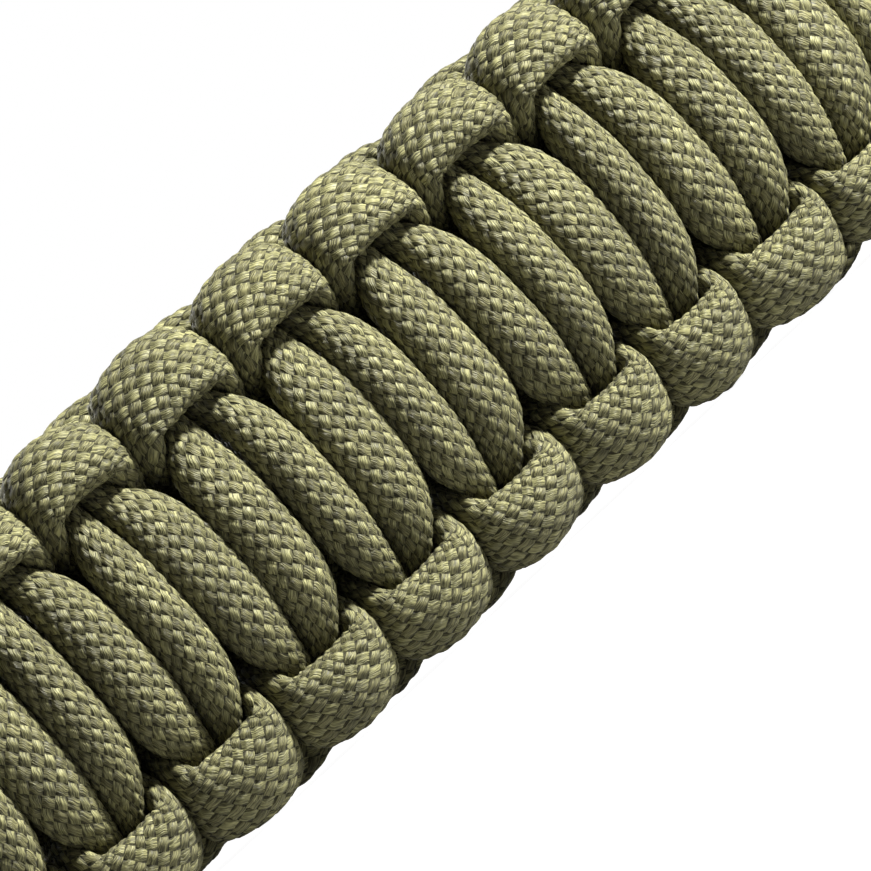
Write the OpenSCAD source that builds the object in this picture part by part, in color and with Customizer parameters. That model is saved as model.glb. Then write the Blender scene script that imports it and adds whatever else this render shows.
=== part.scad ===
// Woven cord bracelet: two cords knotted round two core runs, closed by a plain clasp.
// The loop lies on its side: +Z is the width of the band, -Y the side that is seen first.

/* [Weave] */
// Number of half knots along the woven stretch
half_knots = 52; // [44:2:60]
// Length of one half knot along the band
half_knot = 3.8; // [3.6:0.05:4.4]
// Width of the band over its side bumps
band_w = 24.8; // [23.8:0.1:28]
// Thickness of a strand where it crosses the face of the band
face_t = 3.2; // [2.8:0.05:3.6]
// Width of a strand where it lies flattened round the side bump
flat_w = 5; // [4.4:0.05:5.4]
// Lean of the flattened strand on the side bump, in degrees from the face
bump_lean = 62; // [54:1:70]

/* [Core] */
// Diameter of the core cord
core_d = 3.2; // [2.8:0.05:3.5]
// Gap between the two core runs
core_gap = 0.3; // [0.1:0.05:0.8]
// Clearance between the core and the strands on its faces
core_fit = 0.3; // [0.25:0.01:0.5]

/* [Loop] */
// Half of the angle that the long front stretch turns through
front_turn = 4.75; // [3:0.25:8]
// Angle that each tight side of the loop turns through
side_turn = 130; // [120:1:138]
// Radius of each tight side, to the middle of the band
side_r = 19; // [17:0.5:22]

/* [Clasp] */
// Distance between the two bars, along the band
bar_span = 34; // [32:0.5:44]
// Diameter of each bar
bar_d = 3.2; // [2.8:0.1:3.6]
// Width of the clasp, across the band
clasp_w = 22; // [21:0.5:24]
// Thickness of the clasp
clasp_t = 8; // [6.5:0.25:9]
// How far the cheeks reach past the middle of a bar
cheek_reach = 3; // [2.4:0.1:4]
// Radius of the long edges of the clasp
clasp_edge_r = 2; // [1:0.25:3]
// Radius of the corners of the clasp's outline
clasp_corner_r = 3; // [2:0.25:4]
// Clearance between the cord and the clasp, and between the cord and its bar
clasp_fit = 0.3; // [0.2:0.05:0.6]

/* [Hidden] */

cord_colour = [0.42, 0.41, 0.27];
core_colour = [0.36, 0.35, 0.22];
clasp_colour = [0.11, 0.11, 0.11];

// Sides of a swept cord, and rings along a core run
sides = 7;
run_rings = 46;
// Exponent that squares up the round section of a pressed cord
squareness = 2.5;
// Sides of the small rounds and bars, and of the ring that the clasp's plate is cut from
round_sides = 48;
plate_sides = 180;

// One quarter of a half knot, from the middle of the face to the middle of the side bump.
// along: share of half_knot
// core: share of the core's half width
// out: share of the way from the core's side to the middle of the bump
// up: share of the height of a face strand's middle
// wide: half width along the band, share of half_knot
// flat: 0 where the strand is as thick as on the face, 1 where it is as flat as on the bump
// lean: share of bump_lean
QUARTER = [
    // along, core, out, up, wide, flat, lean
    [0.00, 0.00, 0.00, 1.00, 0.48, 0.00, 0.00],
    [-0.01, 0.77, 0.00, 0.95, 0.48, 0.00, 0.13],
    [-0.05, 1.00, 0.20, 0.76, 0.41, 0.10, 0.45],
    [-0.20, 1.00, 0.43, 0.44, 0.26, 0.28, 0.64],
    [-0.26, 1.00, 0.54, 0.00, 0.20, 0.50, 1.00],
    [-0.28, 1.00, 0.67, -0.44, 0.20, 0.72, 0.97],
    [-0.10, 1.00, 0.87, -0.75, 0.25, 0.90, 0.97],
    [0.50, 1.00, 1.00, -0.82, 0.34, 1.00, 1.00]
];
// Where along QUARTER the rings of the swept strand stand, as row numbers short of the last
QUARTER_STOPS = [1, 3, 4.8, 6];
// The melted end of a strand: how far it stands proud, and its size as a share of the strand's
END_PROUD = 0.6;
END_SHARE = 0.6;

// Half of the hitch of the core cord on a bar, from the core run to the middle of the bight.
// back: from the bar towards the weave, share of the wrap's radius
// out: outward from the middle of the band, share of the wrap's radius
// run: share of the core run's distance from the middle of the band
// side: sideways, share of the wrap's radius
HITCH = [
    // back, out, run, side
    [2.20, 0.00, 1.00, 0.00],
    [1.60, 0.20, 1.00, 0.00],
    [1.00, 0.62, 1.00, 0.00],
    [0.50, 0.91, 1.00, 0.02],
    [-0.15, 0.99, 1.00, 0.07],
    [-0.82, 0.58, 1.00, 0.17],
    [-0.98, -0.20, 1.00, 0.28],
    [-0.58, -0.82, 1.00, 0.42],
    [0.15, -1.00, 1.00, 0.60],
    [0.90, -0.75, 1.00, 0.85],
    [1.42, -0.10, 1.00, 1.08],
    [1.58, 0.65, 1.00, 1.02],
    [1.56, 1.24, 1.00, 0.48],
    [1.55, 1.42, 0.00, 0.00]
];
// Clear length between a bar and the weave, share of the wrap's radius
HITCH_LENGTH = 2.65;

core_r = core_d / 2;
core_y = core_r + core_gap / 2;
core_half_w = core_y + core_r;
face_z = core_r + core_fit + face_t / 2;
wrap_r = bar_d / 2 + clasp_fit + core_r;

// A point of the squared unit circle
function signed_pow(v, p) = (v < 0 ? -1 : 1) * pow(abs(v), p);
function unit_section(a) = [signed_pow(cos(a), 2 / squareness), signed_pow(sin(a), 2 / squareness)];
SECTION = [for (i = [0 : sides - 1]) unit_section(90 + i * 360 / sides)];

// Reach of the flattened strand across the band, from the middle of the bump
bump_wide = QUARTER[len(QUARTER) - 1][4] * half_knot;
bump_reach = max([for (q = SECTION)
    q[0] * bump_wide * cos(bump_lean) + q[1] * flat_w / 2 * sin(bump_lean)]);
bump_y = band_w / 2 - bump_reach;

// The closed line of the loop, made of arcs that meet smoothly
weave_len = half_knots * half_knot;
hitch_len = HITCH_LENGTH * wrap_r;
loop_len = weave_len + 2 * hitch_len + bar_span;
back_turn = 180 - front_turn - side_turn;
function arc_len(r, a) = r * a * PI / 180;
turn_sin = sin(front_turn + side_turn);
side_rise = side_r * (turn_sin - sin(front_turn));
front_r = (loop_len / 2 - arc_len(side_r, side_turn) - arc_len(side_rise / turn_sin, back_turn))
    / (arc_len(1, front_turn) + arc_len(sin(front_turn) / turn_sin, back_turn));
back_r = (front_r * sin(front_turn) + side_rise) / turn_sin;
front_len = arc_len(front_r, front_turn);
side_len = arc_len(side_r, side_turn);

// Centres of the arcs, before the loop is moved over its origin
front_c = [0, front_r];
side_c = [(front_r - side_r) * sin(front_turn), front_r - (front_r - side_r) * cos(front_turn)];
back_end = side_c + side_r * [turn_sin, -cos(front_turn + side_turn)];
back_c = [0, back_end[1] - back_r * cos(back_turn)];
loop_depth = back_c[1] + back_r;
shift_y = (face_z + face_t / 2 - clasp_t / 2 - loop_depth) / 2;

// Heading of the line at a distance s from the middle of the front, and its point there
function heading(s) =
    s < front_len ? s / front_len * front_turn
    : s < front_len + side_len ? front_turn + (s - front_len) / side_len * side_turn
    : 180 - (loop_len / 2 - s) / arc_len(back_r, 1);
function half_point(s, out) =
    let (
        a = heading(s),
        r = s < front_len ? front_r : s < front_len + side_len ? side_r : back_r,
        c = s < front_len ? front_c : s < front_len + side_len ? side_c : back_c
    )
    c + (r + out) * [sin(a), -cos(a)];
function bend(p) =
    let (q = half_point(abs(p[0]), p[2]))
    [(p[0] < 0 ? -1 : 1) * q[0], q[1] + shift_y, p[1] + band_w / 2];

// Smooth curve through a table's rows
function smooth(a, b, c, d, t) =
    0.5 * (2 * b + (c - a) * t + (2 * a - 5 * b + 4 * c - d) * t * t + (3 * b - a - 3 * c + d) * t * t * t);

// One ring of corners round a point p, with the cord's direction t and its flat side along lean
function ring(p, t, lean, half_w, half_t) =
    let (
        along = t / norm(t),
        flat = lean - (lean * along) * along,
        e2 = flat / norm(flat),
        e1 = cross(e2, along)
    )
    [for (q = SECTION) p + q[0] * half_w * e1 + q[1] * half_t * e2];

// Rows of QUARTER with the values turned into millimetres and degrees
function quarter_row(i) =
    let (r = QUARTER[i])
    [
        r[0] * half_knot,
        r[1] * core_half_w + r[2] * (bump_y - core_half_w),
        r[3] * face_z,
        r[4] * half_knot,
        (face_t + (flat_w - face_t) * r[5]) / 2,
        r[6] * bump_lean
    ];
// The rows go on past both ends: a half turn at the face, a mirror image at the bump
LAST = len(QUARTER) - 1;
ROWS = [for (i = [0 : LAST]) quarter_row(i)];
function turned(r) = [-r[0], -r[1], r[2], r[3], r[4], -r[5]];
function mirrored(r) = [half_knot - r[0], r[1], r[2], r[3], r[4], r[5]];
function row_at(i) = i < 0 ? turned(ROWS[-i]) : i > LAST ? mirrored(ROWS[2 * LAST - i]) : ROWS[i];
function quarter_at(u) =
    let (i = min(floor(u), LAST - 1))
    smooth(row_at(i - 1), row_at(i), row_at(i + 1), row_at(i + 2), u - i);
STOPS = [for (u = QUARTER_STOPS) quarter_at(u)];

// A quarter's row q before or after the middle of half knot k, on the flat band
function station(q, k, way) =
    let (side = way * (k % 2 == 0 ? 1 : -1))
    [
        (k - (half_knots - 1) / 2) * half_knot + way * q[0],
        side * q[1],
        q[2],
        q[3],
        q[4],
        side * q[5]
    ];
function melted(s, way) = [s[0] + way * END_PROUD, s[1], s[2], s[3] * END_SHARE, s[4] * END_SHARE, s[5]];
BACK_STOPS = [for (i = [1 : len(STOPS)]) STOPS[len(STOPS) - i]];
FIRST_END = station(ROWS[LAST], 0, -1);
LAST_END = station(ROWS[LAST], half_knots - 1, 1);
STATIONS = concat(
    [melted(FIRST_END, -1), FIRST_END],
    [for (k = [0 : half_knots - 1]) each concat(
        [for (q = BACK_STOPS) station(q, k, -1)],
        [for (q = STOPS) station(q, k, 1)],
        [station(ROWS[LAST], k, 1)]
    )],
    [melted(LAST_END, 1)]
);

function place(v, turn) = [v[0], turn * v[1], turn * v[2]];
function strand_ring(i, turn) =
    let (
        s = STATIONS[i],
        t = STATIONS[min(i + 1, len(STATIONS) - 1)] - STATIONS[max(i - 1, 0)]
    )
    ring(place(s, turn), place(t, turn), place([0, sin(s[5]), cos(s[5])], turn), s[3], s[4]);

// Skin of a tube through rings of corners, either closed on itself or with flat ends
module skin(rings, closed) {
    n = len(rings);
    m = len(rings[0]);
    last = closed ? n - 1 : n - 2;
    points = [for (r = rings) for (p = r) p];
    walls = [for (i = [0 : last]) for (j = [0 : m - 1])
        let (a = i * m, b = ((i + 1) % n) * m, k = (j + 1) % m)
        for (f = [[a + j, b + j, b + k], [a + j, b + k, a + k]]) f];
    start = [for (j = [0 : m - 1]) j];
    end = [for (j = [0 : m - 1]) (n - 1) * m + m - 1 - j];
    polyhedron(points, closed ? walls : concat([start], walls, [end]), convexity = 10);
}

module strand(turn) {
    skin([for (i = [0 : len(STATIONS) - 1]) [for (p = strand_ring(i, turn)) bend(p)]], false);
}

// The core cord as one closed line on the flat band, from the left hitch to the right one and back
function hitch_point(i, end, hand) =
    let (r = HITCH[i])
    [
        end * (weave_len / 2 + hitch_len - r[0] * wrap_r),
        hand * (r[2] * core_y + r[3] * wrap_r),
        r[1] * wrap_r
    ];
run_half = weave_len / 2 + hitch_len - HITCH[0][0] * wrap_r;
function run_point(i, end, hand) = [end * (2 * (i / run_rings) - 1) * run_half, hand * core_y, 0];
BIGHT = len(HITCH) - 1;
CORE = concat(
    [for (i = [1 : run_rings - 1]) run_point(i, 1, 1)],
    [for (i = [0 : BIGHT]) hitch_point(i, 1, 1)],
    [for (i = [1 : BIGHT]) hitch_point(BIGHT - i, 1, -1)],
    [for (i = [1 : run_rings - 1]) run_point(i, -1, -1)],
    [for (i = [0 : BIGHT]) hitch_point(i, -1, -1)],
    [for (i = [1 : BIGHT]) hitch_point(BIGHT - i, -1, 1)]
);

// Each ring of the core keeps its place on the one before it as the line turns
function carry(v, t) = let (w = v - (v * t) * t) w / norm(w);
function core_dir(i) =
    let (n = len(CORE), d = CORE[(i + 1) % n] - CORE[(i + n - 1) % n])
    d / norm(d);
CORE_SIDES = [for (i = 0, v = [0, 0, 1]; i < len(CORE); i = i + 1,
    v = i < len(CORE) ? carry(v, core_dir(i)) : v) v];

module core_cord() {
    rings = [for (i = [0 : len(CORE) - 1])
        [for (p = ring(CORE[i], core_dir(i), CORE_SIDES[i], core_r, core_r)) bend(p)]];
    color(core_colour) skin(rings, true);
}

module over_cord() {
    color(cord_colour) strand(1);
}

module under_cord() {
    color(cord_colour) strand(-1);
}

// Flat outline with round corners, standing on the middle of its own size
module round_outline(w, h, r) {
    square([w - 2 * r, h], center = true);
    square([w, h - 2 * r], center = true);
    for (x = [-1, 1]) for (y = [-1, 1])
        translate([x * (w / 2 - r), y * (h / 2 - r)]) circle(r, $fn = round_sides);
}

// A plate curved along the back of the loop, with a window behind each round bar
bar_turn = bar_span / 2 / arc_len(back_r, 1);
plate_turn = bar_turn + cheek_reach / arc_len(back_r, 1);
plate_len = 2 * (back_r + clasp_t / 2) * sin(plate_turn);
// The plate is swept well past both ends, where its outline cuts it off
plate_sweep = 4 * plate_turn;
window_w = 2 * (core_half_w + wrap_r + clasp_fit);
window_reach = wrap_r + core_r + clasp_fit;
// A depth that clears the plate, and a bar length that ends halfway into the cheeks
clear_cut = 2 * clasp_t;
bar_len = (window_w + clasp_w) / 2;

module at_bar(side) {
    translate([0, back_c[1] + shift_y, band_w / 2]) rotate([0, 0, -side * bar_turn]) translate([0, back_r, 0])
        children();
}

module clasp() {
    color(clasp_colour) {
        difference() {
            intersection() {
                translate([0, back_c[1] + shift_y, band_w / 2])
                    rotate([0, 0, 90 - plate_sweep / 2])
                        rotate_extrude(angle = plate_sweep, $fn = plate_sides)
                            translate([back_r, 0]) round_outline(clasp_t, clasp_w, clasp_edge_r);
                translate([0, 0, band_w / 2]) rotate([-90, 0, 0])
                    linear_extrude(height = loop_depth)
                        round_outline(plate_len, clasp_w, clasp_corner_r);
            }
            for (side = [-1, 1]) at_bar(side)
                translate([side > 0 ? -window_reach : -clear_cut, -clear_cut / 2, -window_w / 2])
                    cube([window_reach + clear_cut, clear_cut, window_w]);
        }
        for (side = [-1, 1]) at_bar(side)
            cylinder(h = bar_len, d = bar_d, center = true, $fn = round_sides);
    }
}

core_cord();
over_cord();
under_cord();
clasp();
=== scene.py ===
"""Dressed model of the woven cord bracelet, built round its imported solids.

Every cord is a surface worked out with numpy from the same sizes as the
solids, by the place along the cord and round its section. Lengths are in
metres. The loop lies on its side: +Z is the band's width, -Y the side seen first.
"""

import logging
import math
from dataclasses import dataclass
from enum import Enum
from typing import NamedTuple

import bpy
import numpy as np
from bpy.types import Material, Node, NodeSocket as Socket, NodeTree, Object
from mathutils import Matrix, Vector


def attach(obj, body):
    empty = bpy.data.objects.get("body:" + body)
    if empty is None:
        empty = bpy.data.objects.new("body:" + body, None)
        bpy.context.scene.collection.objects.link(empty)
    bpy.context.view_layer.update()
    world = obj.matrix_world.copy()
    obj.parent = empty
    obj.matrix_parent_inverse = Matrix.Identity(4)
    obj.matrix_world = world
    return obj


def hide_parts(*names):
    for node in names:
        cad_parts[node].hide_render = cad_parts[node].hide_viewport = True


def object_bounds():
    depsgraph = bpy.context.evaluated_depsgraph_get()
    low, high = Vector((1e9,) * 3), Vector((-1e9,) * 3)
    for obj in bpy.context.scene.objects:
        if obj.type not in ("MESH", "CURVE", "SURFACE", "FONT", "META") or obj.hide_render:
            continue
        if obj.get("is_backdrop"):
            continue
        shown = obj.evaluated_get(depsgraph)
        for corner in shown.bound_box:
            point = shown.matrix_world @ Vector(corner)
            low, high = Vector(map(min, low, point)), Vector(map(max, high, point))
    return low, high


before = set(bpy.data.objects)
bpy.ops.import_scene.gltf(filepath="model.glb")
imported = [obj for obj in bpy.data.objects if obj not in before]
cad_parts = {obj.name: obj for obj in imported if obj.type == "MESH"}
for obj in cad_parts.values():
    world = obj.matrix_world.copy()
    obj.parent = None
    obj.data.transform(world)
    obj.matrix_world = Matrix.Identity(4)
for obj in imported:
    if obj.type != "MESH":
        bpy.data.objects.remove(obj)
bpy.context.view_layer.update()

LOG = logging.getLogger("bracelet")
BODY = "root"
SHEATH_MAP = "sheath"
Array = np.ndarray
Value = Socket | float | tuple[float, ...]
Inputs = dict[int | str, Value]
Span = tuple[float, float]
Point = tuple[float, float, float]
Colour = tuple[float, float, float, float]
Waves = tuple[Point, ...]
WHITE: Colour = (1.0, 1.0, 1.0, 1.0)
# Most of the smooth noise lies in this span of its values.
NOISE_SPAN: Span = (0.3, 0.7)

# One quarter of a half knot, from the middle of the face to the middle of the side bump:
# along (share of half_knot), core (share of the core's half width), out (share of the way
# from the core's side to the bump), up (share of a face strand's height), wide (half width,
# share of half_knot), flat (0 as thick as on the face, 1 as flat as on the bump),
# lean (share of bump_lean)
QUARTER = np.array([
    [0.00, 0.00, 0.00, 1.00, 0.49, 0.00, 0.00],
    [-0.01, 0.77, 0.00, 0.95, 0.49, 0.00, 0.13],
    [-0.05, 1.00, 0.20, 0.76, 0.43, 0.05, 0.40],
    [-0.18, 1.00, 0.43, 0.44, 0.30, 0.15, 0.64],
    [-0.27, 1.00, 0.58, 0.00, 0.25, 0.40, 0.95],
    [-0.28, 1.00, 0.76, -0.46, 0.25, 0.72, 0.97],
    [-0.12, 1.00, 0.93, -0.76, 0.31, 0.92, 0.97],
    [0.50, 1.00, 1.00, -0.82, 0.36, 1.00, 1.00],
])

# Half of the hitch of the core cord on a bar, from the core run to the middle of the bight:
# back (towards the weave), out (outward), run (share of the run's distance), side (sideways)
HITCH = np.array([
    [2.20, 0.00, 1.00, 0.00],
    [1.60, 0.20, 1.00, 0.00],
    [1.00, 0.62, 1.00, 0.00],
    [0.50, 0.91, 1.00, 0.02],
    [-0.15, 0.99, 1.00, 0.07],
    [-0.82, 0.58, 1.00, 0.17],
    [-0.98, -0.20, 1.00, 0.28],
    [-0.58, -0.82, 1.00, 0.42],
    [0.15, -1.00, 1.00, 0.60],
    [0.90, -0.75, 1.00, 0.85],
    [1.42, -0.10, 1.00, 1.08],
    [1.58, 0.65, 1.00, 1.02],
    [1.56, 1.24, 1.00, 0.48],
    [1.55, 1.42, 0.00, 0.00],
])


class Face(Enum):
    """Which face of the band a woven cord crosses."""

    OUTER = 1
    INNER = -1


def smooth_rows(rows: Array, at: Array) -> Array:
    """Reads a table between its rows by the Catmull-Rom curve.

    Between rows b and c, with a before and d after, the value at t is
    (2b + (c - a)t + (2a - 5b + 4c - d)t^2 + (3b - a - 3c + d)t^3) / 2.

    Args:
        rows: The table, with one more row before its start and after its end.
        at: Places along the table, where 0 is the second row.

    Returns:
        One row of values for each place.
    """
    first = np.clip(np.floor(at).astype(int), 0, len(rows) - 4)
    t = (at - first)[:, None]
    a, b, c, d = (rows[first + step] for step in range(4))
    square = 2 * a - 5 * b + 4 * c - d
    cube = 3 * b - a - 3 * c + d
    return 0.5 * (2 * b + (c - a) * t + square * t**2 + cube * t**3)


def unit(vectors: Array) -> Array:
    """Each vector divided by its own length."""
    return vectors / np.linalg.norm(vectors, axis=-1, keepdims=True)


def total(steps: Array) -> Array:
    """Running total of each row of steps, from 0."""
    return np.cumsum(np.insert(steps, 0, 0.0, axis=-1), axis=-1)


def squared(angles: Array, power: float) -> tuple[Array, Array]:
    """The cosine and the sine of angles, each raised to a power that keeps its sign."""
    return tuple(np.sign(f) * np.abs(f) ** power for f in (np.cos(angles), np.sin(angles)))


def waves(at: Array, terms: Waves) -> Array:
    """Sum of sine waves, each given as (height, length, start in turns)."""
    return sum(height * np.sin(2 * np.pi * (at / length + start)) for height, length, start in terms)


@dataclass(frozen=True)
class Sheath:
    """The braided skin of a cord: two families of yarns, each over one and under one of the other.

    Level is the skin's mean height, which is taken off, and relief the height
    of 1 in metres.
    """

    columns: int = 22
    pitch: float = 1.08e-3
    swing: float = 0.16
    fullness: float = 2.8
    crown: float = 0.56
    dive: float = 0.44
    level: float = 0.75
    relief: float = 0.22e-3

    def yarns(self, run: Array, side: Array, sign: int) -> tuple[Array, Array]:
        """Height of one family of yarns, 1 at the top of a float, and its cover of the other.

        With J the nearest whole side and T = pi (run + J), the yarn swings
        aside by sin(T), and c is the distance from its middle. Its height is
        sign dive cos(T) + crown (1 - |2c|^n)^(1/n), and it covers the other
        family where sign cos(T) / 2 + (1 - 4 c^2) / 2 is more.

        Args:
            run: Place along the yarns, in crossings.
            side: Place across the yarns, in crossings.
            sign: 1 for the family over at even crossings, -1 for the other.

        Returns:
            The height and the cover at each place.
        """
        own = np.round(side)
        turn = np.pi * (run + own)
        across = side - own - sign * self.swing * np.sin(turn)
        section = np.clip(1 - np.abs(2 * across) ** self.fullness, 0, 1) ** (1 / self.fullness)
        rise = sign * np.cos(turn)
        return self.dive * rise + self.crown * section, (rise + 1 - 4 * across**2) / 2

    def height(self, column: Array, along: Array) -> Array:
        """Height of the skin over its own mean, in metres, where the covering yarn is seen.

        Args:
            column: Place round the cord, in columns.
            along: Place along the cord, in crossings.

        Returns:
            The height at each place.
        """
        run, side = along + column / 2, along - column / 2
        first, first_cover = self.yarns(run, side, 1)
        second, second_cover = self.yarns(side, run, -1)
        return self.relief * (np.where(first_cover > second_cover, first, second) - self.level)


@dataclass(frozen=True)
class Weave:
    """Sizes of the woven band and the lines that its cords follow.

    The last fields shape the hand-tied look: how the edges lean and lag, how
    the band is drawn in and sags, and its waves.
    """

    half_knots: int = 52
    half_knot: float = 3.8e-3
    band_w: float = 24.8e-3
    face_t: float = 3.2e-3
    flat_w: float = 5.0e-3
    bump_lean: float = math.radians(62.0)
    core_d: float = 3.2e-3
    core_gap: float = 0.3e-3
    core_fit: float = 0.3e-3
    bar_d: float = 3.2e-3
    clasp_fit: float = 0.3e-3
    hitch_share: float = 2.65
    squareness: float = 2.2
    section_corners: int = 7
    section_power: float = 0.8
    cap_stretch: float = 0.15
    edge_lean: float = 0.08e-3
    edge_bow: float = 0.50e-3
    narrow: float = 0.994
    narrow_swing: float = 0.006
    sag: float = 0.15e-3
    along_waves: Waves = ((0.16e-3, 0.041, 0.1), (0.10e-3, 0.0173, 0.55), (0.11e-3, 0.0093, 0.2))
    skew_waves: Waves = ((0.20e-3, 0.0231, 0.3), (0.12e-3, 0.0137, 0.8))
    narrow_waves: Waves = ((1.0, 0.0293, 0.4), (0.33, 0.0119, 0.7))

    @property
    def core_r(self) -> float:
        """Radius of the core cord."""
        return self.core_d / 2

    @property
    def core_y(self) -> float:
        """Distance of a core run from the middle of the band."""
        return self.core_r + self.core_gap / 2

    @property
    def face_z(self) -> float:
        """Height of a face strand's middle over the middle of the band."""
        return self.core_r + self.core_fit + self.face_t / 2

    @property
    def wrap_r(self) -> float:
        """Radius of the core cord's turn round a bar."""
        return self.bar_d / 2 + self.clasp_fit + self.core_r

    @property
    def weave_len(self) -> float:
        """Length of the woven stretch."""
        return self.half_knots * self.half_knot

    @property
    def reach(self) -> float:
        """Distance of a bar from the middle of the front, along the flat band."""
        return self.weave_len / 2 + self.hitch_share * self.wrap_r

    @property
    def last(self) -> int:
        """Number of the last row of the quarter."""
        return len(QUARTER) - 1

    def bump_y(self) -> float:
        """Distance of a bump's middle from the band's, where its solid section meets the edge."""
        angles = np.pi / 2 + 2 * np.pi * np.arange(self.section_corners) / self.section_corners
        x, y = squared(angles, self.section_power)
        wide = QUARTER[-1, 4] * self.half_knot
        reach = x * wide * math.cos(self.bump_lean) + y * self.flat_w / 2 * math.sin(self.bump_lean)
        return self.band_w / 2 - reach.max()

    def quarter(self) -> Array:
        """The quarter in metres, with a half turn before its start and a mirror image after its end."""
        q = QUARTER
        side = self.core_y + self.core_r
        rows = np.stack([
            q[:, 0] * self.half_knot,
            q[:, 1] * side + q[:, 2] * (self.bump_y() - side),
            q[:, 3] * self.face_z,
            q[:, 4] * self.half_knot,
            (self.face_t + (self.flat_w - self.face_t) * q[:, 5]) / 2,
            q[:, 6] * self.bump_lean,
        ], axis=1)
        before = rows[1] * [-1, -1, 1, 1, 1, -1]
        after = rows[-2] * [-1, 1, 1, 1, 1, 1] + [self.half_knot, 0, 0, 0, 0, 0]
        return np.vstack([before, rows, after])

    def stations(self, place: Array) -> Array:
        """Sections of the cord that crosses the outer face.

        Args:
            place: Places along the cord, counted in rows of the quarter.

        Returns:
            Rows of s, y, z, half width, half thickness and lean on the flat band.
        """
        turn = 2 * self.last
        knot = np.clip(np.floor(place / turn), 0, self.half_knots - 1)
        rest = place - turn * knot - self.last
        way = np.where(rest < 0, -1, 1)
        rows = smooth_rows(self.quarter(), np.abs(rest))
        side = way * (1 - 2 * (knot % 2))
        middle = (knot - (self.half_knots - 1) / 2) * self.half_knot
        return np.column_stack([
            middle + way * rows[:, 0], side * rows[:, 1], rows[:, 2:5], side * rows[:, 5],
        ])

    def hand_tied(self, flat: Array) -> Array:
        """Shifts points of the flat band a little, as a knot tied by hand sits a little off.

        Slow sine waves move each place, the edges lean and lag along the band,
        and the lower edge sags by the fourth power of its distance.

        Args:
            flat: Points (s, y, z) of the flat band.

        Returns:
            The same points as tied.
        """
        s, y, z = flat[..., 0], flat[..., 1], flat[..., 2]
        edge = y / (self.band_w / 2)
        along = waves(s, self.along_waves)
        skew = waves(s, self.skew_waves)
        narrow = self.narrow + self.narrow_swing * waves(s, self.narrow_waves)
        bow = self.edge_lean * edge - self.edge_bow * edge**2
        sag = self.sag * np.minimum(edge, 0) ** 4
        return np.stack([s + along + skew * edge + bow, y * narrow - sag, z], axis=-1)


@dataclass(frozen=True)
class Loop:
    """The closed line that the flat band is bent round, made of arcs that meet smoothly."""

    weave: Weave
    front_turn: float = math.radians(4.75)
    side_turn: float = math.radians(130.0)
    side_r: float = 19.0e-3
    bar_span: float = 34.0e-3
    clasp_t: float = 8.0e-3

    def arcs(self) -> Array:
        """Solves the loop for the front radius that closes it.

        Returns:
            A row for each arc: its start, radius, centre's x and y, and first heading.
        """
        front, side = self.front_turn, self.side_turn
        back = math.pi - front - side
        turn_sin = math.sin(front + side)
        rise = self.side_r * (turn_sin - math.sin(front))
        left = self.weave.reach + self.bar_span / 2 - self.side_r * side - rise / turn_sin * back
        front_r = left / (front + math.sin(front) / turn_sin * back)
        back_r = (front_r * math.sin(front) + rise) / turn_sin
        side_c = np.array([
            (front_r - self.side_r) * math.sin(front),
            front_r - (front_r - self.side_r) * math.cos(front),
        ])
        back_end = side_c + self.side_r * np.array([turn_sin, -math.cos(front + side)])
        back_c = np.array([0.0, back_end[1] - back_r * math.cos(back)])
        face = self.weave.face_z + self.weave.face_t / 2
        shift = (face - self.clasp_t / 2 - (back_c[1] + back_r)) / 2
        centres = np.array([[0.0, front_r], side_c, back_c]) + [0.0, shift]
        starts = [0.0, front_r * front, front_r * front + self.side_r * side]
        radii = [front_r, self.side_r, back_r]
        return np.column_stack([starts, radii, centres, [0.0, front, front + side]])

    def bend(self, flat: Array) -> Array:
        """Carries points of the flat band onto the loop.

        On an arc of radius r and centre c, with heading a = a0 + (s - s0) / r,
        the point is c + (r + z) (sin a, -cos a), and its height is y + band_w / 2.

        Args:
            flat: Points (s, y, z), with s from the middle of the front.

        Returns:
            The same points in the part's frame.
        """
        arcs, s = self.arcs(), np.abs(flat[..., 0])
        number = np.searchsorted(arcs[1:, 0], s, side="right")
        start, radius, across, depth, heading = np.moveaxis(arcs[number], -1, 0)
        angle = heading + (s - start) / radius
        reach = radius + flat[..., 2]
        x = np.sign(flat[..., 0]) * (across + reach * np.sin(angle))
        y = depth - reach * np.cos(angle)
        return np.stack([x, y, flat[..., 1] + self.weave.band_w / 2], axis=-1)


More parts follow.
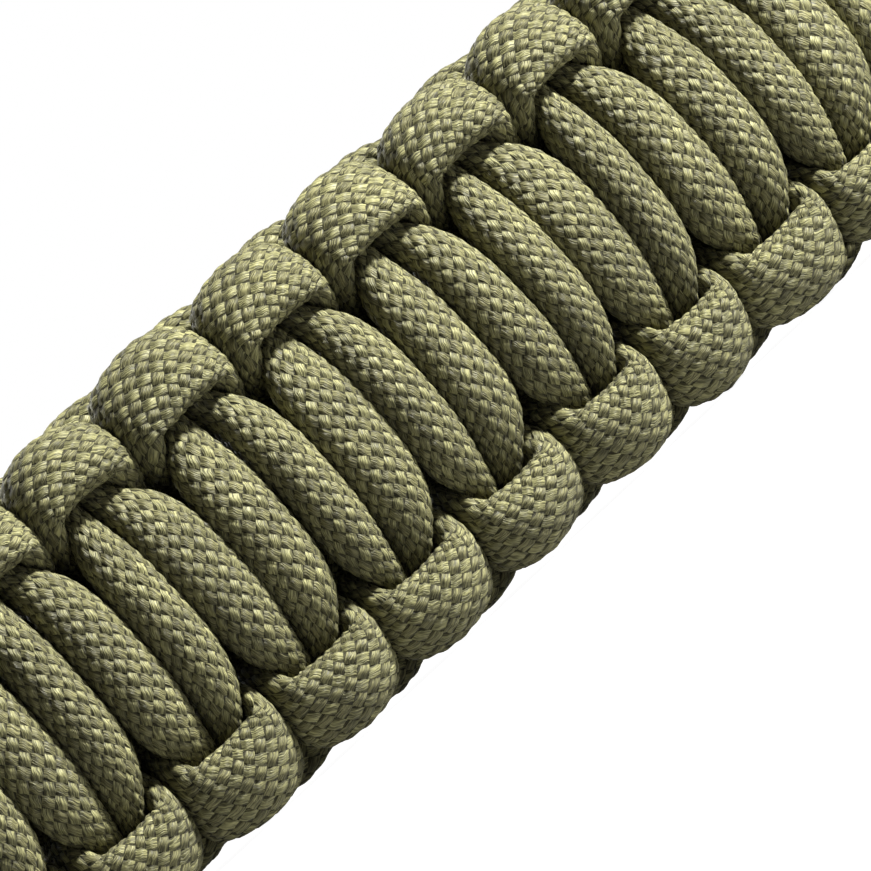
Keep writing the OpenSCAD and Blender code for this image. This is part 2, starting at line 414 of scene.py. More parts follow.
@dataclass(frozen=True)
class Grid:
    """A tube's points, rings first, and the map that its skin's pattern follows."""

    points: Array
    columns: Array
    along: Array
    closed: bool = False

    def walls(self) -> tuple[Array, Array]:
        """The four-sided faces between the rings, and the map at their corners."""
        rings, sides = self.points.shape[:2]
        ring = np.arange(rings if self.closed else rings - 1)[:, None]
        side = np.arange(sides)[None, :]
        corners = [(ring, side), (ring + 1, side), (ring + 1, side + 1), (ring, side + 1)]
        faces = np.stack([r % rings * sides + s % sides for r, s in corners], axis=-1)
        maps = [np.broadcast_arrays(self.columns[s], self.along[r]) for r, s in corners]
        maps = np.stack([np.stack(pair, axis=-1) for pair in maps], axis=2)
        return faces.reshape(-1, 4), maps.reshape(-1, 2)

    def caps(self) -> tuple[Array, Array]:
        """The three-sided faces of the two end fans, and the map at their corners."""
        rings, sides = self.points.shape[:2]
        side, pole = np.arange(sides), np.full(sides, rings * sides)
        last, after = (rings - 1) * sides + side, (side + 1) % sides
        first_fan = np.stack([side, after, pole], axis=1)
        last_fan = np.stack([last - side + after, last, pole + 1], axis=1)
        maps = np.stack([np.tile(self.columns[:-1], 2), np.repeat(self.along[[0, -1]], sides)], axis=1)
        return np.vstack([first_fan, last_fan]), np.repeat(maps, 3, axis=0)

    def build(self, name: str) -> Object:
        """Makes the mesh: four-sided walls, and a fan on each end of an open tube.

        Args:
            name: The new object's name.

        Returns:
            The object, linked to the scene, at the origin.
        """
        points = self.points.reshape(-1, 3)
        walls, maps = self.walls()
        loops = walls.ravel()
        starts = 4 * np.arange(len(walls))
        if not self.closed:
            caps, cap_maps = self.caps()
            points = np.vstack([points, self.points[[0, -1]].mean(axis=1)])
            starts = np.concatenate([starts, len(loops) + 3 * np.arange(len(caps))])
            loops = np.concatenate([loops, caps.ravel()])
            maps = np.vstack([maps, cap_maps])
        return mesh_object(name, points, loops, starts, maps)


def mesh_object(name: str, points: Array, loops: Array, starts: Array, maps: Array) -> Object:
    """Puts arrays into a new smooth mesh object, linked to the scene.

    Args:
        name: The object's name.
        points: The vertices.
        loops: The vertex of each face corner.
        starts: The first corner of each face.
        maps: The sheath map at each corner.

    Returns:
        The object.
    """
    mesh = bpy.data.meshes.new(name)
    mesh.vertices.add(len(points))
    mesh.vertices.foreach_set("co", points.astype(np.float32).ravel())
    mesh.loops.add(len(loops))
    mesh.loops.foreach_set("vertex_index", loops.astype(np.int32))
    mesh.polygons.add(len(starts))
    mesh.polygons.foreach_set("loop_start", starts.astype(np.int32))
    mesh.update(calc_edges=True)
    layer = mesh.uv_layers.new(name=SHEATH_MAP)
    layer.uv.foreach_set("vector", maps.astype(np.float32).ravel())
    mesh.polygons.foreach_set("use_smooth", np.ones(len(starts), dtype=bool))
    mesh.validate()
    obj = bpy.data.objects.new(name, mesh)
    bpy.context.scene.collection.objects.link(obj)
    return obj


def report(piece: Object) -> None:
    """Logs a finished piece and its faces."""
    LOG.info("%s: %d faces", piece.name, len(piece.data.polygons))


def even_section(
    half_w: Array, half_t: Array, shares: Array, squareness: float, steps: int = 96,
) -> tuple[Array, Array]:
    """Points evenly spaced round squared ovals, starting from the under side.

    The outline is (a cos^p, b sin^p) of an angle, p = 2 / squareness. Its
    length is summed up on a fine grid and turned round by interpolation.

    Args:
        half_w: Half width a of each ring.
        half_t: Half thickness b of each ring.
        shares: Places round each ring, as shares of a turn.
        squareness: The exponent of the squared oval.
        steps: Steps of that grid.

    Returns:
        The outline's two coordinates on the unit oval, one row for each ring.
    """
    fine = np.linspace(-np.pi / 2, 3 * np.pi / 2, steps + 1)
    across, up = squared(fine, 2 / squareness)
    pieces = np.hypot(np.diff(across) * half_w[:, None], np.diff(up) * half_t[:, None])
    run = total(pieces)
    run = run / run[:, -1:]
    ring = np.arange(len(run))[:, None]
    turned = fine + 2 * np.pi * ring
    angles = np.interp((shares % 1 + ring).ravel(), (run + ring).ravel(), turned.ravel())
    return squared(angles.reshape(shares.shape) - 2 * np.pi * ring, 2 / squareness)


@dataclass(frozen=True)
class Detail:
    """How finely a stretch of cord is drawn, and what share of the braid's relief its mesh holds."""

    sides: int
    step: float
    relief: float


FINE = Detail(sides=66, step=Sheath.pitch / 4, relief=1.0)
PLAIN = Detail(sides=26, step=Sheath.pitch * 2 / 3, relief=0.0)


@dataclass(frozen=True)
class WovenCord:
    """One of the two woven cords, split into pieces along its length.

    Plump and twist are slow waves in the cord's width and in the turn of its skin.
    """

    name: str
    face: Face
    weave: Weave
    loop: Loop
    sheath: Sheath
    twist_start: float
    front_knots: tuple[int, int, int] = (16, 26, 36)
    hidden_row: float = 4.0
    nudge: float = 0.02
    measure_steps: int = 40000
    bead_rings: int = 12
    bead_span: Span = (-0.35, 0.97)
    bead_swell: float = 1.04
    bead_height: float = 0.7e-3
    plump: Waves = ((0.055, 0.0831, 0.15), (0.045, 0.0447, 0.6))
    twist: Waves = ((0.06, 0.113, 0.2), (0.05, 0.0417, 0.7))

    @property
    def end(self) -> int:
        """Place of the cord's end, counted in rows of the quarter."""
        return 2 * self.weave.last * self.weave.half_knots

    def cuts(self) -> list[tuple[float, float, Detail]]:
        """The pieces as (start, end, detail), cut where the cord dives between its neighbours."""
        last = self.weave.last
        first, middle, after = (2 * last * knot + last - self.hidden_row for knot in self.front_knots)
        return [(0.0, first, PLAIN), (first, middle, FINE), (middle, after, FINE), (after, self.end, PLAIN)]

    def place(self, flat: Array) -> Array:
        """Turns points for the face that this cord crosses, shifts them as tied, and bends them round."""
        return self.loop.bend(self.weave.hand_tied(flat * [1, self.face.value, self.face.value]))

    def sections(self, at: Array) -> tuple[Array, Array, Array]:
        """Sections of the cord and the two ways that each is drawn in.

        With t the tangent, the second way is the lean made square to t, and
        the first is t cross the second.

        Args:
            at: Places along the cord, counted in rows of the quarter.

        Returns:
            The rows of Weave.stations, and the first and second way of each.
        """
        rows = self.weave.stations(at)
        ahead = self.weave.stations(np.clip(at + self.nudge, 0, self.end))
        behind = self.weave.stations(np.clip(at - self.nudge, 0, self.end))
        tangent = unit(ahead[:, :3] - behind[:, :3])
        lean = np.stack([np.zeros(len(at)), np.sin(rows[:, 5]), np.cos(rows[:, 5])], axis=1)
        flat_way = unit(lean - (lean * tangent).sum(axis=1, keepdims=True) * tangent)
        return rows, np.cross(tangent, flat_way), flat_way

    def measure(self) -> tuple[Array, Array]:
        """Length of the cord's seen side at a fine row of places along it.

        With p the middle of the section, a and b its half width and thickness
        and L its lean, the seen line is p + b cos(L) e2 - a sin(L) e1. The
        braid is stretched where the cord turns over the edge.

        Returns:
            The places, and the braid's length from the cord's start to each.
        """
        places = np.linspace(0, self.end, self.measure_steps)
        rows, side_way, flat_way = self.sections(places)
        outward = (rows[:, 4] * np.cos(rows[:, 5]))[:, None] * flat_way
        facing = (rows[:, 3] * np.sin(rows[:, 5]))[:, None] * side_way
        line = self.place(rows[:, :3] + outward - facing)
        steps = np.linalg.norm(np.diff(line, axis=0), axis=1)
        steps *= 1 - self.weave.cap_stretch * (rows[1:, 5] / self.weave.bump_lean) ** 2
        return places, total(steps)

    def stretch(self, start: float, end: float, detail: Detail) -> Grid:
        """The skin of one piece of the cord.

        A corner is p + a x e1 + b y e2, with p the middle of the section, e1
        and e2 its two ways, and (x, y) on a squared oval. The half width a
        swells and thins along the cord by slow waves, and b the other way.

        Args:
            start: Place of the first ring.
            end: Place of the last ring.
            detail: Rings and sides to use.

        Returns:
            The grid of the piece.
        """
        places, lengths = self.measure()
        low, high = np.interp([start, end], places, lengths)
        count = max(2, round((high - low) / detail.step) + 1)
        run = np.linspace(low, high, count)
        rows, side_way, flat_way = self.sections(np.interp(run, lengths, places))
        plump = 1 + waves(run, self.plump)
        wide, thick = rows[:, 3] * plump, rows[:, 4] / plump
        twist = self.twist_start + waves(run, self.twist)
        shares = np.arange(detail.sides) / detail.sides
        x, y = even_section(wide, thick, shares[None, :] + twist[:, None], self.weave.squareness)
        columns = np.arange(detail.sides + 1) / detail.sides * self.sheath.columns
        along = run / self.sheath.pitch
        rise = detail.relief * self.sheath.height(columns[None, :-1], along[:, None])
        flat = (
            rows[:, None, :3]
            + ((wide[:, None] + rise) * x)[..., None] * side_way[:, None, :]
            + ((thick[:, None] + rise) * y)[..., None] * flat_way[:, None, :]
        )
        return Grid(self.place(flat), columns, along)

    def bead(self, skin: Grid, at_start: bool) -> Grid:
        """The melted bead that seals an end of the cord.

        With c the middle of the cord's last ring, r a point of it and o the
        way out, a point is c + (r - c) swell cos(u) + o height sin(u), with u
        from a little inside the cord to nearly a quarter turn.

        Args:
            skin: The piece of cord that ends there.
            at_start: Whether it is the cord's start.

        Returns:
            The grid of the bead.
        """
        last, inner = (0, 1) if at_start else (-1, -2)
        centre = skin.points[last].mean(axis=0)
        out = unit(centre - skin.points[inner].mean(axis=0))
        u = np.linspace(*self.bead_span, self.bead_rings)[:, None, None] * np.pi / 2
        u = u[::-1] if at_start else u
        spread = (skin.points[last] - centre) * self.bead_swell * np.cos(u)
        points = centre + spread + out * self.bead_height * np.sin(u)
        return Grid(points, skin.columns, np.arange(self.bead_rings) / self.bead_rings)

    def dress(self, piece: Object, material: Material) -> None:
        """Gives a piece its material and its place in the part.

        Args:
            piece: The new piece.
            material: Its finish.
        """
        piece.data.materials.append(material)
        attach(piece, BODY)
        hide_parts(self.name)
        report(piece)

    def build(self, finish: "SheathFinish", melted: "PlasticFinish") -> None:
        """Builds and dresses every piece of the cord, with a melted bead on each end.

        Args:
            finish: The finish of the braided skin.
            melted: The finish of the beads.
        """
        cuts = self.cuts()
        for number, (start, end, detail) in enumerate(cuts, start=1):
            skin = self.stretch(start, end, detail)
            self.dress(skin.build(f"{self.name}_{number}"), finish.material)
            if number in (1, len(cuts)):
                bead = self.bead(skin, number == 1).build(f"{self.name}_bead_{number}")
                self.dress(bead, melted.material)


@dataclass(frozen=True)
class CoreCord:
    """The core cord: two runs down the band and a hitch round each bar, as one closed line.

    The braid's relief sets in over blend_len, where the cord leaves the weave.
    """

    weave: Weave
    loop: Loop
    sheath: Sheath
    sides: int = 44
    run_step: float = 1.5e-3
    hitch_step: float = 0.27e-3
    blend_len: float = 4.0e-3
    run_spans: int = 46
    line_steps: int = 12

    def run(self, end: int, hand: int) -> Array:
        """Points of one run on the flat band, towards the given end and on the given side."""
        half = self.weave.reach - HITCH[0, 0] * self.weave.wrap_r
        s = np.linspace(-half, half, self.run_spans + 1)[1:-1]
        return np.stack([end * s, np.full_like(s, hand * self.weave.core_y), np.zeros_like(s)], axis=1)

    def hitch(self, end: int) -> Array:
        """Points of a hitch on the flat band: the table, and its mirror image back.

        Args:
            end: The end of the band, 1 or -1.

        Returns:
            Rows of s, y and z.
        """
        w, rows = self.weave, np.vstack([HITCH, HITCH[-2::-1]])
        hand = end * np.repeat([1, -1], [len(HITCH), len(HITCH) - 1])
        return np.stack([
            end * (w.reach - rows[:, 0] * w.wrap_r),
            hand * (rows[:, 2] * w.core_y + rows[:, 3] * w.wrap_r),
            rows[:, 1] * w.wrap_r,
        ], axis=1)

    def line(self) -> Array:
        """Smooth closed line on the flat band: a run and a hitch, and the same the other way."""
        corners = np.vstack([self.run(1, 1), self.hitch(1), self.run(-1, -1), self.hitch(-1)])
        wrapped = np.vstack([corners[-1:], corners, corners[:3]])
        return smooth_rows(wrapped, np.linspace(0, len(corners), self.line_steps * len(corners) + 1))

    def shown(self, s: Array) -> Array:
        """How much of the cord shows at a place along the band: 0 inside the weave, 1 at a hitch."""
        return np.clip((np.abs(s) - self.weave.weave_len / 2) / self.blend_len + 1, 0, 1)

    def rings(self) -> tuple[Array, Array]:
        """Middles of the rings on the flat band, closer together where the cord shows.

        Returns:
            The middles, and the length of cord from its start to each ring and
            back round to the first.
        """
        fine = self.line()
        steps = np.linalg.norm(np.diff(fine, axis=0), axis=1)
        lengths = total(steps)
        spacing = np.where(self.shown(fine[1:, 0]) > 0, self.hitch_step, self.run_step)
        numbers = total(steps / spacing)
        count = round(numbers[-1])
        run = np.interp(np.arange(count + 1) * numbers[-1] / count, numbers, lengths)
        centre = np.stack([np.interp(run[:-1], lengths, fine[:, k]) for k in range(3)], axis=1)
        return centre, run

    @staticmethod
    def ways(centre: Array) -> tuple[Array, Array, float]:
        """The two ways that each ring is drawn in, carried along the closed line without twist.

        Each ring's first way is the one before it, made square to the line.

        Args:
            centre: The middles of the rings.

        Returns:
            The first and second ways, and the turn that is left at the closing.
        """
        tangent = unit(np.roll(centre, -1, axis=0) - np.roll(centre, 1, axis=0))
        carried = [np.array([0.0, 0.0, 1.0])]
        for ahead in np.roll(tangent, -1, axis=0):
            carried.append(unit(carried[-1] - (carried[-1] @ ahead) * ahead))
        out, closing = np.array(carried[:-1]), carried[-1]
        side = np.cross(out, tangent)
        return out, side, -math.atan2(closing @ side[0], closing @ out[0])

    def grid(self) -> Grid:
        """The skin of the closed cord, each ring turned by its share of what is left at the closing."""
        centre, run = self.rings()
        out, side, gap = self.ways(centre)
        share = run / run[-1]
        angle = 2 * np.pi * np.arange(self.sides) / self.sides + gap * share[:-1, None]
        columns = np.arange(self.sides + 1) / self.sides * self.sheath.columns
        along = share * round(run[-1] / self.sheath.pitch)
        rise = self.shown(centre[:, 0])[:, None] * self.sheath.height(columns[None, :-1], along[:-1, None])
        radius = self.weave.core_r + rise
        flat = centre[:, None, :] + radius[..., None] * (
            np.cos(angle)[..., None] * out[:, None, :] + np.sin(angle)[..., None] * side[:, None, :]
        )
        return Grid(self.loop.bend(flat), columns, along, closed=True)

    def build(self, finish: "SheathFinish") -> None:
        """Builds and dresses the core cord.

        Args:
            finish: The finish of the braided skin.
        """
        piece = self.grid().build("core_cord_skin")
        piece.data.materials.append(finish.material)
        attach(piece, BODY)
        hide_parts("core_cord")
        report(piece)


class Wiring:
    """Short hand for the nodes and links of one shader tree."""

    def __init__(self, tree: NodeTree) -> None:
        """Keeps the tree and empties it."""
        self.tree = tree
        tree.nodes.clear()

    def feed(self, socket: Socket, value: Value) -> None:
        """Links a socket to another, or sets its value.

        Args:
            socket: The input to feed.
            value: The other socket, or the value.
        """
        if isinstance(value, Socket):
            self.tree.links.new(value, socket)
        else:
            socket.default_value = value

    def node(self, kind: str, inputs: Inputs | None = None, **settings: str | bool) -> Node:
        """Adds a node.

        Args:
            kind: Its type, without the ShaderNode before it.
            inputs: What goes to its inputs, by name or number.
            settings: Its other settings.

        Returns:
            The node.
        """
        made = self.tree.nodes.new("ShaderNode" + kind)
        for key, setting in settings.items():
            setattr(made, key, setting)
        for key, value in (inputs or {}).items():
            self.feed(made.inputs[key], value)
        return made

    def math(self, operation: str, *values: Value, clamp: bool = False) -> Socket:
        """One number worked out from one to three others."""
        inputs = dict(enumerate(values))
        return self.node("Math", inputs, operation=operation, use_clamp=clamp).outputs[0]

    def times(self, first: Value, second: Value) -> Socket:
        """The product of two numbers."""
        return self.math("MULTIPLY", first, second)

    def line(self, value: Value, slope: Value, start: Value) -> Socket:
        """A number times a slope, plus a start."""
        return self.math("MULTIPLY_ADD", value, slope, start)

    def blend(self, share: Value, first: Value, second: Value) -> Socket:
        """A number between two others."""
        inputs = {0: share, 2: first, 3: second}
        return self.node("Mix", inputs, data_type="FLOAT").outputs[0]

    def colour(self, share: Value, first: Value, second: Value, way: str = "MIX") -> Socket:
        """A colour between two others."""
        inputs = {0: share, 6: first, 7: second}
        return self.node("Mix", inputs, data_type="RGBA", blend_type=way).outputs[2]

    def vector(self, x: Value, y: Value, z: Value) -> Socket:
        """A vector joined from three numbers."""
        return self.node("CombineXYZ", {0: x, 1: y, 2: z}).outputs[0]

    def span(self, value: Value, span: Span, to: Span = (0.0, 1.0)) -> Socket:
        """A number carried smoothly from one span to another."""
        inputs = dict(enumerate((value, *span, *to)))
        return self.node("MapRange", inputs, interpolation_type="SMOOTHSTEP").outputs[0]

    def noise(self, vector: Value, scale: float, detail: float = 2.0, rough: float = 0.5) -> Socket:
        """Smooth noise from 0 to 1."""
        inputs = {"Vector": vector, "Scale": scale, "Detail": detail, "Roughness": rough}
        return self.node("TexNoise", inputs).outputs["Fac"]

    def place(self) -> Socket:
        """The place in object coordinates."""
        return self.node("TexCoord").outputs["Object"]

    def bump(self, height: Value, depth: float) -> Socket:
        """The normal of a skin raised by a height times a depth."""
        inputs = {"Strength": 1.0, "Distance": depth, "Height": height}
        return self.node("Bump", inputs).outputs[0]

    def shade(self, inputs: Inputs) -> None:
        """Adds the shader and links it to the material's output."""
        shader = self.node("BsdfPrincipled", inputs)
        self.node("OutputMaterial", {0: shader.outputs[0]})


@dataclass(frozen=True)
class Finish:
    """A finish that is wired once, when its material is first asked for."""

    name: str

    @property
    def material(self) -> Material:
        """The material, made on first use."""
        made = bpy.data.materials.get(self.name)
        if made is None:
            made = bpy.data.materials.new(self.name)
            made.use_nodes = True
            self.wire(Wiring(made.node_tree))
        return made

    def wire(self, w: Wiring) -> None:
        """Wires the material into an empty tree."""
        raise NotImplementedError


class Yarns(NamedTuple):
    """What a shader tree says of one family of yarns.

    Along and across are places in crossings from the float's middle. Number
    tells the floats apart and yarn the yarns.
    """

    height: Socket
    cover: Socket
    along: Socket
    across: Socket
    number: Socket
    yarn: Socket


@dataclass(frozen=True)
class SheathFinish(Finish):
    """Braided nylon: short floats, each a flat bundle of fine filaments.

    The gap colour is painted shade, which the skin rises out of over gap_span.
    A float's edge gets that painted shade where the covers differ by less than
    edge_span, by edge_dark at its sides and ends, which meet at end_span. Wander
    is how far filaments wander and how often.
    The first three lights are what they add and their least.
    """

    sheath: Sheath
    # The two families are one nylon. Their difference in tone is partly the yarns' own colour and partly
    # painted light, standing in for the sheen that each direction of filament catches.
    rising: Colour = (0.158, 0.149, 0.066, 1.0)
    falling: Colour = (0.200, 0.191, 0.085, 1.0)
    # Painted shade: near black in the gaps between yarns and along the floats' edges, where the crossing
    # yarns shade them.
    gap: Colour = (0.009, 0.008, 0.005, 1.0)
    gap_span: Span = (0.04, 0.34)
    edge_span: Span = (0.30, 0.60)
    end_span: Span = (-0.22, 0.05)
    edge_dark: Span = (0.55, 0.84)
    row_step: float = 23.7
    filaments: float = 12.0
    stretch: float = 1.1
    wander: Span = (0.22, 2.6)
    # Painted highlights and shade of single filaments along each float.
    streak_span: Span = (0.32, 0.68)
    streak_light: Span = (1.05, 0.40)
    float_light: Span = (0.26, 0.87)
    yarn_light: Span = (0.14, 0.93)
    blotch: float = 220.0
    blotch_light: Span = (0.86, 1.12)
    roughness: float = 0.50
    depth: float = 0.26e-3
    streak_depth: float = 0.14
    specular: float = 0.25
    sheen: float = 0.03

    def yarns(self, w: Wiring, run: Value, side: Value, sign: int) -> Yarns:
        """Wires one family of yarns, by the formula of Sheath.yarns.

        Args:
            w: The tree to wire.
            run: Place along the yarns.
            side: Place across the yarns.
            sign: 1 for the rising family, -1 for the falling one.

        Returns:
            What the family says of each place.
        """
        sheath = self.sheath
        own = w.math("ROUND", side)
        turn = w.times(w.math("ADD", run, own), math.pi)
        aside = w.math("SUBTRACT", side, own)
        across = w.line(w.math("SINE", turn), -sign * sheath.swing, aside)
        edge = w.math("POWER", w.math("ABSOLUTE", w.times(across, 2.0)), sheath.fullness)
        section = w.math("POWER", w.math("SUBTRACT", 1.0, edge, clamp=True), 1 / sheath.fullness)
        rise = w.times(w.math("COSINE", turn), float(sign))
        height = w.line(section, sheath.crown, w.times(rise, sheath.dive))
        round_top = w.line(w.times(across, across), -2.0, 0.5)
        cover = w.line(rise, 0.5, round_top)
        offset = (1 - sign) / 2
        ahead = w.math("SUBTRACT", run, own)
        pair = w.math("ROUND", w.times(w.math("SUBTRACT", ahead, offset), 0.5))
        middle = w.line(pair, 2.0, offset)
        along = w.math("SUBTRACT", ahead, middle)
        column = w.math("FLOORED_MODULO", w.times(middle, float(sign)), float(sheath.columns))
        row = w.line(own, 2.0, middle)
        number = w.line(row, self.row_step, column)
        yarn = w.math("FLOORED_MODULO", own, sheath.columns / 2)
        return Yarns(height, cover, along, across, number, yarn)

    def clear(self, w: Wiring, seen: Yarns, cover: Value, across: Value) -> Socket:
        """Wires how clear a place is of the painted shade in the gaps and on the floats' edges.

        Args:
            w: The tree to wire.
            seen: The family that is seen at a place.
            cover: Cover of the other one.
            across: Place across the float of the other one.

        Returns:
            0 in a gap and 1 on top of a float.
        """
        edge = w.span(w.math("SUBTRACT", seen.cover, cover), self.edge_span, (-1.0, 0.0))
        ends = w.math("SUBTRACT", w.math("ABSOLUTE", across), w.math("ABSOLUTE", seen.across))
        dark = w.span(ends, self.end_span, self.edge_dark)
        raised = w.span(seen.height, self.gap_span)
        return w.times(raised, w.line(edge, dark, 1.0))

    def streak(self, w: Wiring, seen: Yarns) -> Socket:
        """Wires the filaments that run along each float, as bumps and as painted highlights and shade.

        Args:
            w: The tree to wire.
            seen: The family that is seen at a place.

        Returns:
            0 on a filament in painted shade and 1 on one with a painted highlight.
        """
        aside, often = self.wander
        wander = w.noise(w.vector(seen.along, seen.across, seen.number), often, detail=1.0)
        thread = w.times(w.line(wander, aside, seen.across), self.filaments)
        fine = w.vector(thread, w.times(seen.along, self.stretch), seen.number)
        return w.span(w.noise(fine, 1.0, detail=1.0, rough=0.6), self.streak_span)

    def lit(self, w: Wiring, seen: Yarns, is_rising: Value, streak: Value) -> Socket:
        """Wires the yarns' colour: the two families' tones, which are partly painted light, painted
        highlights and shade by filament, and lighter or darker by float, yarn and blotch.

        Args:
            w: The tree to wire.
            seen: The family that is seen at a place.
            is_rising: 1 where that is the rising one.
            streak: The filaments.

        Returns:
            The colour.
        """
        # Painted filament highlights and shade.
        light = w.line(streak, *self.streak_light)
        for number, share in ((seen.number, self.float_light), (seen.yarn, self.yarn_light)):
            inputs = {"Vector": w.vector(number, is_rising, 0.0)}
            own = w.node("TexWhiteNoise", inputs, noise_dimensions="2D").outputs["Value"]
            light = w.times(light, w.line(own, *share))
        blotch = w.noise(w.place(), self.blotch, detail=3.0)
        light = w.times(light, w.span(blotch, NOISE_SPAN, self.blotch_light))
        # The two families' tones, partly painted light.
        base = w.colour(is_rising, self.falling, self.rising)
        return w.colour(1.0, base, w.vector(light, light, light), "MULTIPLY")

    def wire(self, w: Wiring) -> None:
        """Wires the material on the sheath map, from the height that Sheath.height gives.

        Args:
            w: The tree to wire.
        """
        u, v, _ = w.node("SeparateXYZ", {0: w.node("UVMap", uv_map=SHEATH_MAP).outputs[0]}).outputs
        run, side = (w.line(u, half, v) for half in (0.5, -0.5))
        rising, falling = self.yarns(w, run, side, 1), self.yarns(w, side, run, -1)
        is_rising = w.math("GREATER_THAN", rising.cover, falling.cover)
        seen = Yarns(*(w.blend(is_rising, one, other) for one, other in zip(falling, rising)))
        cover = w.blend(is_rising, rising.cover, falling.cover)
        across = w.blend(is_rising, rising.across, falling.across)
        clear, streak = self.clear(w, seen, cover, across), self.streak(w, seen)
        w.shade({
            # Painted shade in the gaps and at the floats' edges, over the yarns' colour.
            "Base Color": w.colour(clear, self.gap, self.lit(w, seen, is_rising, streak)),
            "Roughness": w.blend(clear, 1.0, self.roughness),
            "Specular IOR Level": self.specular,
            "Sheen Weight": self.sheen,
            "Normal": w.bump(w.line(streak, self.streak_depth, seen.height), self.depth),
        })


@dataclass(frozen=True)
class PlasticFinish(Finish):
    """Plastic with a fine grain, spots where it is rubbed and a raised mould seam.

    Gloss is the roughness between the spots and on them. Seam is the seam's
    height, far below the part where there is none.
    """

    base: Colour
    rubbed: Colour
    grain: float
    depth: float
    spots: float
    gloss: Span
    seam: float = -1.0
    seam_w: float = 0.14e-3
    seam_rise: float = 2.0
    rub_span: Span = (0.45, 0.7)
    specular: float = 0.3

    def wire(self, w: Wiring) -> None:
        """Wires the material on object coordinates.

        Args:
            w: The tree to wire.
        """
        place = w.place()
        rub = w.noise(place, self.spots, detail=4.0, rough=0.6)
        height = w.node("SeparateXYZ", {0: place}).outputs[2]
        off = w.math("ABSOLUTE", w.math("SUBTRACT", height, self.seam))
        ridge = w.span(off, (0.0, self.seam_w), (self.seam_rise, 0.0))
        w.shade({
            "Base Color": w.colour(w.span(rub, self.rub_span), self.base, self.rubbed),
            "Roughness": w.span(rub, NOISE_SPAN, self.gloss),
            "Specular IOR Level": self.specular,
            "Normal": w.bump(w.math("ADD", w.noise(place, self.grain), ridge), self.depth),
        })


MELTED_NYLON = PlasticFinish(
    name="melted_nylon",
    base=(0.030, 0.027, 0.012, 1.0),
    rubbed=(0.085, 0.078, 0.036, 1.0),
    grain=1400.0,
    depth=0.12e-3,
    spots=900.0,
    gloss=(0.30, 0.50),
)
MATTE_PLASTIC = PlasticFinish(
    name="matte_plastic",
    base=(0.014, 0.014, 0.015, 1.0),
    rubbed=(0.030, 0.030, 0.031, 1.0),
    grain=7000.0,
    depth=0.03e-3,
    spots=260.0,
    gloss=(0.55, 0.72),
    seam=Weave.band_w / 2,
)


@dataclass(frozen=True)
class PaperFinish(Finish):
    """Pale paper with a faint grain, which glows and gives a weaker light to what faces it."""

    tone: Colour = (0.28, 0.28, 0.28, 1.0)
    fleck: Colour = (0.30, 0.30, 0.30, 1.0)
    grain: float = 900.0
    roughness: float = 0.9
    glow: float = 0.975
    light: float = 0.13

    def wire(self, w: Wiring) -> None:
        """Wires the material on object coordinates.

        Args:
            w: The tree to wire.
        """
        grain = w.span(w.noise(w.place(), self.grain, detail=3.0), NOISE_SPAN)
        seen = w.node("LightPath").outputs["Is Camera Ray"]
        w.shade({
            "Base Color": w.colour(grain, self.tone, self.fleck),
            "Roughness": self.roughness,
            "Emission Color": WHITE,
            "Emission Strength": w.blend(seen, self.light, self.glow),
        })


@dataclass(frozen=True)
class Clasp:
    """The plain clasp, which keeps its own solid and gets a finish."""

    finish: PlasticFinish

    def dress(self) -> None:
        """Gives the clasp's solid its material."""
        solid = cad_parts["clasp"]
        solid.data.materials.clear()
        solid.data.materials.append(self.finish.material)
        report(solid)


@dataclass(frozen=True)
class Shot:
    """The camera: its angle to the band and the scale that the picture has."""

    target: Point = (2.5e-3, -27.5e-3, 9.33e-3)
    distance: float = 0.38
    azimuth: float = math.radians(19.0)
    elevation: float = math.radians(1.75)
    roll: float = math.radians(42.2)
    picture: float = 871.0
    px_per_metre: float = 17340.0
    sensor: float = 36.0
    clip: Span = (0.01, 50.0)

    def build(self) -> None:
        """Places the camera and makes it the scene's own."""
        a, e = self.azimuth, self.elevation
        look = Vector((math.sin(a) * math.cos(e), math.cos(a) * math.cos(e), -math.sin(e)))
        level = Vector((math.cos(a), -math.sin(a), 0.0))
        upright = level.cross(look)
        right = level * math.cos(self.roll) - upright * math.sin(self.roll)
        up = level * math.sin(self.roll) + upright * math.cos(self.roll)
        data = bpy.data.cameras.new("camera")
        data.sensor_width = self.sensor
        data.lens = self.sensor * self.px_per_metre * self.distance / self.picture
        data.clip_start, data.clip_end = self.clip
        camera = bpy.data.objects.new("camera", data)
        turn = Matrix((right, up, -look)).transposed()
        camera.matrix_world = Matrix.Translation(Vector(self.target) - look * self.distance) @ turn.to_4x4()
        bpy.context.scene.collection.objects.link(camera)
        bpy.context.scene.camera = camera


@dataclass(frozen=True)
class Lamp:
    """A soft square light that faces the bracelet."""

    name: str
    direction: Point
    distance: float
    size: float
    power: float
    aim: Point = (0.0, -0.02, 0.012)

    def build(self) -> None:
        """Places the light and turns it to the middle of the band."""
        data = bpy.data.lights.new(self.name, "AREA")
        data.shape, data.size, data.energy = "SQUARE", self.size, self.power
        lamp = bpy.data.objects.new(self.name, data)
        away = Vector(self.direction).normalized()
        lamp.location = Vector(self.aim) + away * self.distance
        lamp.rotation_euler = away.to_track_quat("Z", "Y").to_euler()
        bpy.context.scene.collection.objects.link(lamp)


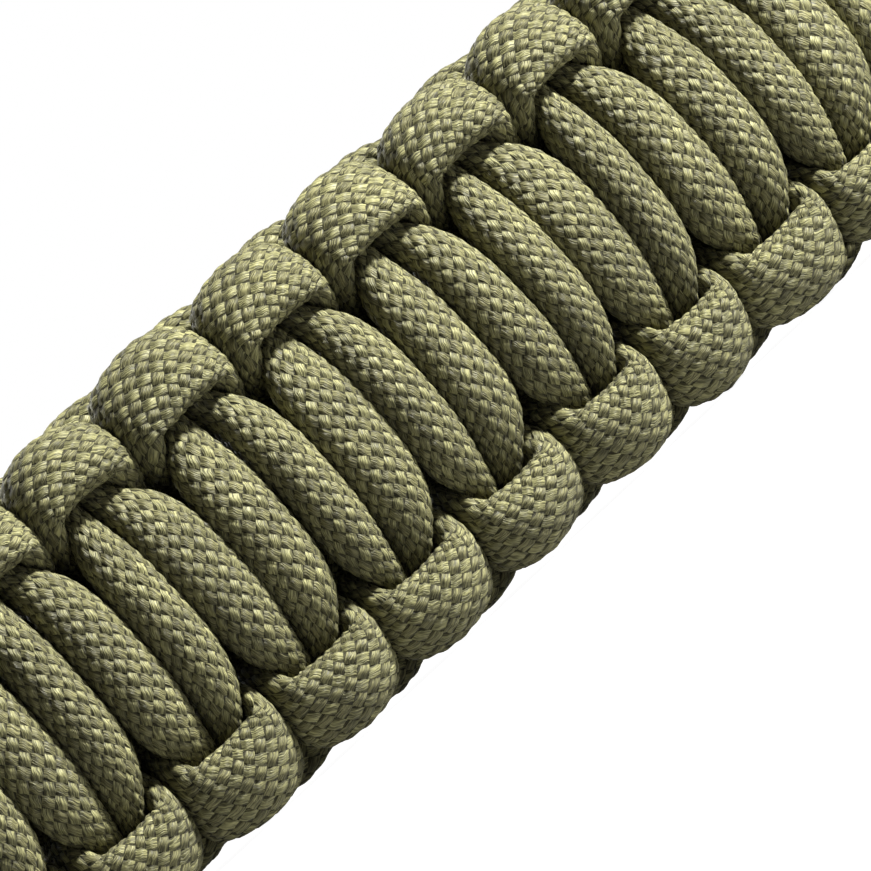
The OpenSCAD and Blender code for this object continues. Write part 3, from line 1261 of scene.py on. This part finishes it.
@dataclass(frozen=True)
class Studio:
    """Pale floor, white surround and soft lights."""

    floor_r: float = 3.0
    floor_sides: int = 96
    paper: PaperFinish = PaperFinish("floor_paper")
    ambient: float = 0.002
    lamps: tuple[Lamp, ...] = (
        Lamp("key_light", (0.83, -0.50, 0.62), 0.60, 0.08, 13.3),
        Lamp("fill_light", (-0.80, -0.70, 0.30), 0.80, 0.50, 0.05),
        Lamp("back_light", (-0.35, 0.85, 0.36), 0.80, 0.80, 9.0),
    )

    def floor(self, height: float) -> None:
        """A round floor where the cords rest.

        Args:
            height: Its height.
        """
        loops = np.arange(self.floor_sides)
        angle = 2 * np.pi * loops / self.floor_sides
        round_line = self.floor_r * np.stack([np.cos(angle), np.sin(angle)], axis=1)
        rim = np.column_stack([round_line, np.full_like(angle, height)])
        floor = mesh_object("floor", rim, loops, np.array([0]), round_line)
        floor.data.materials.append(self.paper.material)
        floor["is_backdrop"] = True

    def surround(self) -> None:
        """White surround that is seen bright and lights the scene softly."""
        world = bpy.data.worlds.new("studio")
        world.use_nodes = True
        w = Wiring(world.node_tree)
        seen = w.node("LightPath").outputs["Is Camera Ray"]
        inputs = {"Color": WHITE, "Strength": w.blend(seen, self.ambient, 1.0)}
        w.node("OutputWorld", {0: w.node("Background", inputs).outputs[0]})
        bpy.context.scene.world = world

    def build(self) -> None:
        """Builds the floor, the surround and the lights."""
        self.floor(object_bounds()[0][2])
        self.surround()
        for lamp in self.lamps:
            lamp.build()
        bpy.context.scene.view_settings.view_transform = "Standard"


def main() -> None:
    """Builds the bracelet piece by piece, then the stage round it."""
    logging.basicConfig(level=logging.INFO, format="%(name)s: %(message)s")
    Shot().build()
    weave, sheath = Weave(), Sheath()
    loop = Loop(weave)
    woven = SheathFinish("braided_nylon", sheath)
    WovenCord("over_cord", Face.OUTER, weave, loop, sheath, twist_start=0.0).build(woven, MELTED_NYLON)
    WovenCord("under_cord", Face.INNER, weave, loop, sheath, twist_start=0.02).build(woven, MELTED_NYLON)
    CoreCord(weave, loop, sheath).build(SheathFinish("core_braid", sheath))
    Clasp(MATTE_PLASTIC).dress()
    Studio().build()


if __name__ == "__main__":
    main()
